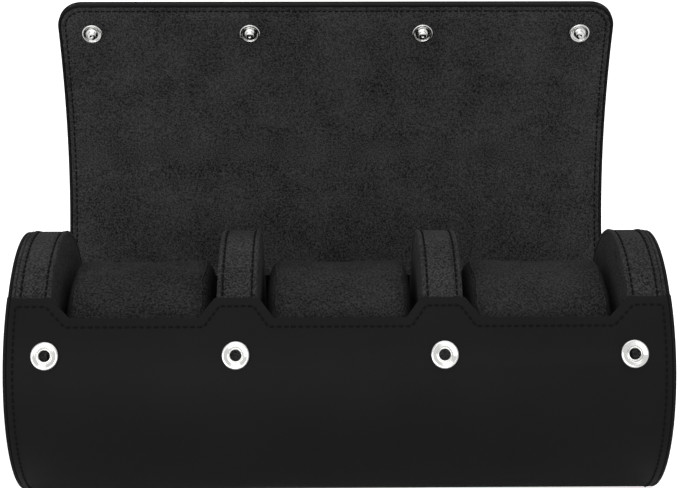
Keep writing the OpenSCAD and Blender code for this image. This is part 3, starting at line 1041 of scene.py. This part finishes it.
# The leather: a flat sheet whose turned border stands round the lining
leatherFlat = lidSheet("lidLeatherFlat", 0, -lid["half"], lid["floor"])
pickFaces(leatherFlat, lambda face: face.center.z > lid["floor"] - tiny)
bpy.ops.mesh.inset(thickness=lid["border"])
bpy.ops.mesh.select_all(action="INVERT")
setMode("OBJECT")
for face in leatherFlat.data.polygons:
    face.select = face.select and face.normal.z > 0.5
setMode("EDIT", "FACE")
up = (0, 0, lid["half"] - lid["floor"])
bpy.ops.mesh.extrude_region_move(TRANSFORM_OT_translate={"value": up})
setMode("OBJECT")
sewGroove(
    leatherFlat, lambda face: face.center.z < -lid["half"] + tiny,
    stitch["edge"], lid["groove"], lid["grooveDeep"],
)
bevelEdges(leatherFlat, lid["round"], 4, 50)
leatherParts = cutLid(leatherFlat, "lidLeather", leather)
liningFlat = lidSheet(
    "lidLiningFlat", lid["border"] + lining["gap"], lining["bottom"], lining["top"],
)
sewGroove(
    liningFlat, lambda face: face.center.z > lining["top"] - tiny,
    lid["seam"] - lid["border"], lining["groove"], lid["grooveDeep"],
)
bevelEdges(liningFlat, lining["round"], 2, 50)
liningParts = cutLid(liningFlat, "lidLining", suede, lining["first"])
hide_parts("hinge_backing")
for k in range(1, lid["strips"] + 1):
    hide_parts(f"lid_leather_{k}", f"lid_board_{k}")
    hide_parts(f"lid_lining_{k}")


def sewLid(name, inset, lift, first):
    half = lid["halfWidth"] - inset
    bend = lid["corner"] - inset
    far = lidLength - inset
    for segment in range(len(seams) - 1):
        start = max(seams[segment], first)
        end = min(seams[segment + 1], far - bend)
        runs = [((sign * half, start), (sign * half, end)) for sign in (-1, 1)]
        if segment == lid["strips"]:
            runs.append(((bend - half, far), (half - bend, far)))
            for sign in (-1, 1):
                turns = spread(0, math.pi / 2, stitch["pitch"] / bend)
                corner = [
                    (sign * (half - bend + bend * math.cos(t)), far - bend + bend * math.sin(t))
                    for t in turns
                ]
                runs += list(zip(corner, corner[1:]))
        seam = sewSeam(f"{name}{segment}", runs, lift, onLid)
        lidBend(seam, segment)


# The inner seam starts with the lining, the outer one where the lid has risen off the floor
innerSeam = {"lift": 1.2 * mm, "first": 5 * mm}
outerSeam = {"lift": stitch["sunk"] - lid["half"], "first": 14 * mm}
sewLid("lidInnerStitches", lid["seam"], innerSeam["lift"], innerSeam["first"])
sewLid("lidOuterStitches", stitch["edge"], outerSeam["lift"], outerSeam["first"])
print("lid made")


# The snaps: sockets on the roll's front, studs on the lid's lining and caps behind them
def spinPart(name, profile, bevel):
    part = addOutline(name, [(r * mm, 0, z * mm) for r, z in profile], fill="NOTHING")
    makeActive(part)
    setMode("EDIT", "VERT")
    bpy.ops.mesh.select_all(action="SELECT")
    bpy.ops.mesh.bevel(offset=bevel * mm, segments=3, affect="VERTICES", clamp_overlap=True)
    bpy.ops.mesh.select_all(action="SELECT")
    bpy.ops.mesh.spin(steps=snap["steps"], angle=2 * math.pi, center=(0, 0, 0), axis=(0, 0, 1))
    bpy.ops.mesh.select_all(action="SELECT")
    bpy.ops.mesh.remove_doubles(threshold=0.002 * mm)
    setMode("OBJECT")
    return part


# Each profile's radii and heights are in millimetres
socketProfile = (
    (2.1, 0), (4.85, 0), (5.15, 0.3), (5.15, 1.0), (4.85, 1.4), (4.4, 1.5), (3.6, 1.25),
    (3.0, 1.1), (2.85, 0.8), (2.65, 1.3), (2.35, 1.42), (2.1, 1.2),
)
studProfile = (
    (0.3, 0), (4.15, 0), (4.45, 0.3), (4.45, 0.65), (4.15, 0.92), (3.6, 0.9), (3.25, 0.6),
    (2.3, 0.58), (1.65, 0.85), (1.65, 1.75), (1.95, 2.1), (1.95, 2.55), (1.65, 2.95), (0.8, 3.1),
    (0.3, 2.95),
)
capProfile = (
    (0.01, 0), (4.9, 0), (5.0, 0.15), (4.4, 0.6), (3.0, 0.95), (1.5, 1.15), (0.01, 1.2),
)


def onStud(x, out, flip):
    y, z = onLid(seams[-2], out)
    turn = Matrix.Rotation(stripAngle(lid["strips"]) + flip, 4, "X")
    return Matrix.Translation((x, y, z)) @ turn


def setFour(part, name, rule, node, body):
    copies = []
    for x in snap["xs"]:
        one = copyPiece(part, name)
        one.data.transform(rule(x))
        copies.append(one)
    bpy.data.objects.remove(part)
    four = joinPieces(copies, name)
    dress(four, nickel, 50)
    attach(four, body)
    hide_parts(node)


setFour(spinPart("socketOne", socketProfile, 0.1), "snapSockets", onSocket, "socket_caps", "roll")
setFour(
    spinPart("studOne", studProfile, 0.1), "snapStuds",
    lambda x: onStud(x, snap["studLift"], 0), "snap_studs", "lid_strip_8",
)
setFour(
    spinPart("capOne", capProfile, 0.08), "snapCaps",
    lambda x: onStud(x, -lid["half"], math.pi), "snap_backs", "lid_strip_8",
)
print("snaps made")

# The CAD pieces that stay: lining, back cover, board and the sockets' inner parts
for node, material in {
    "trough_lining": suede,
    "back_cover": suede,
    "core_shell": greyBoard,
    "socket_springs": nickel,
    "socket_eyelets": nickel,
}.items():
    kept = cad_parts[node]
    kept.data.materials.clear()
    kept.data.materials.append(material)

# Floor, backdrop and soft studio light
studio = {"floor": 6.0, "world": 0.85, "paper": 0.64}
softboxes = {
    "overheadSoftbox": {
        "at": (0.1, -0.25, 1.1), "toward": (0, 0, 0.05), "size": (1.3, 0.9), "power": 3.4,
    },
    "frontSoftbox": {
        "at": (-0.25, -1.2, 0.32), "toward": (0, 0, 0.08), "size": (1.2, 0.6), "power": 6.6,
    },
}
bpy.ops.mesh.primitive_plane_add(size=studio["floor"])
floor = bpy.context.object
floor.name = "floor"
paper = bpy.data.materials.new("White paper sweep, matte")
paper.use_nodes = True
tree = paper.node_tree
surface = tree.nodes["Principled BSDF"]
surface.inputs["Base Color"].default_value = colour("#f2f2f2")
surface.inputs["Roughness"].default_value = 0.9
surface.inputs["Specular IOR Level"].default_value = 0.1
path = addNode(tree, "ShaderNodeLightPath", (-600, 300))
glow = addNode(tree, "ShaderNodeEmission", (-300, -250), Strength=studio["paper"])
dark = addNode(tree, "ShaderNodeEmission", (-300, -400), Strength=0.0)
seen = addNode(tree, "ShaderNodeMixShader", (-50, -250), Fac=path.outputs["Is Camera Ray"])
tree.links.new(dark.outputs[0], seen.inputs[1])
tree.links.new(glow.outputs[0], seen.inputs[2])
both = addNode(tree, "ShaderNodeAddShader", (200, 0))
tree.links.new(surface.outputs[0], both.inputs[0])
tree.links.new(seen.outputs[0], both.inputs[1])
tree.links.new(both.outputs[0], tree.nodes["Material Output"].inputs["Surface"])
floor.data.materials.append(paper)

world = bpy.data.worlds.new("studio")
bpy.context.scene.world = world
world.use_nodes = True
tree = world.node_tree
back = tree.nodes["Background"]
path = addNode(tree, "ShaderNodeLightPath", (-700, 200))
strength = addNode(
    tree, "ShaderNodeMapRange", (-400, 200),
    Value=path.outputs["Is Camera Ray"], To_Min=studio["world"], To_Max=1.0,
)
back.inputs["Color"].default_value = colour("#ffffff")
tree.links.new(strength.outputs["Result"], back.inputs["Strength"])


def addSoftbox(name, at, toward, size, power):
    turn = (Vector(toward) - Vector(at)).to_track_quat("-Z", "Y").to_euler()
    bpy.ops.object.light_add(type="AREA", location=at, rotation=turn)
    lamp = bpy.context.object
    lamp.name = name
    lamp.data.shape = "RECTANGLE"
    lamp.data.size, lamp.data.size_y = size
    lamp.data.energy = power


for name, softbox in softboxes.items():
    addSoftbox(name, **softbox)
print("studio lit")
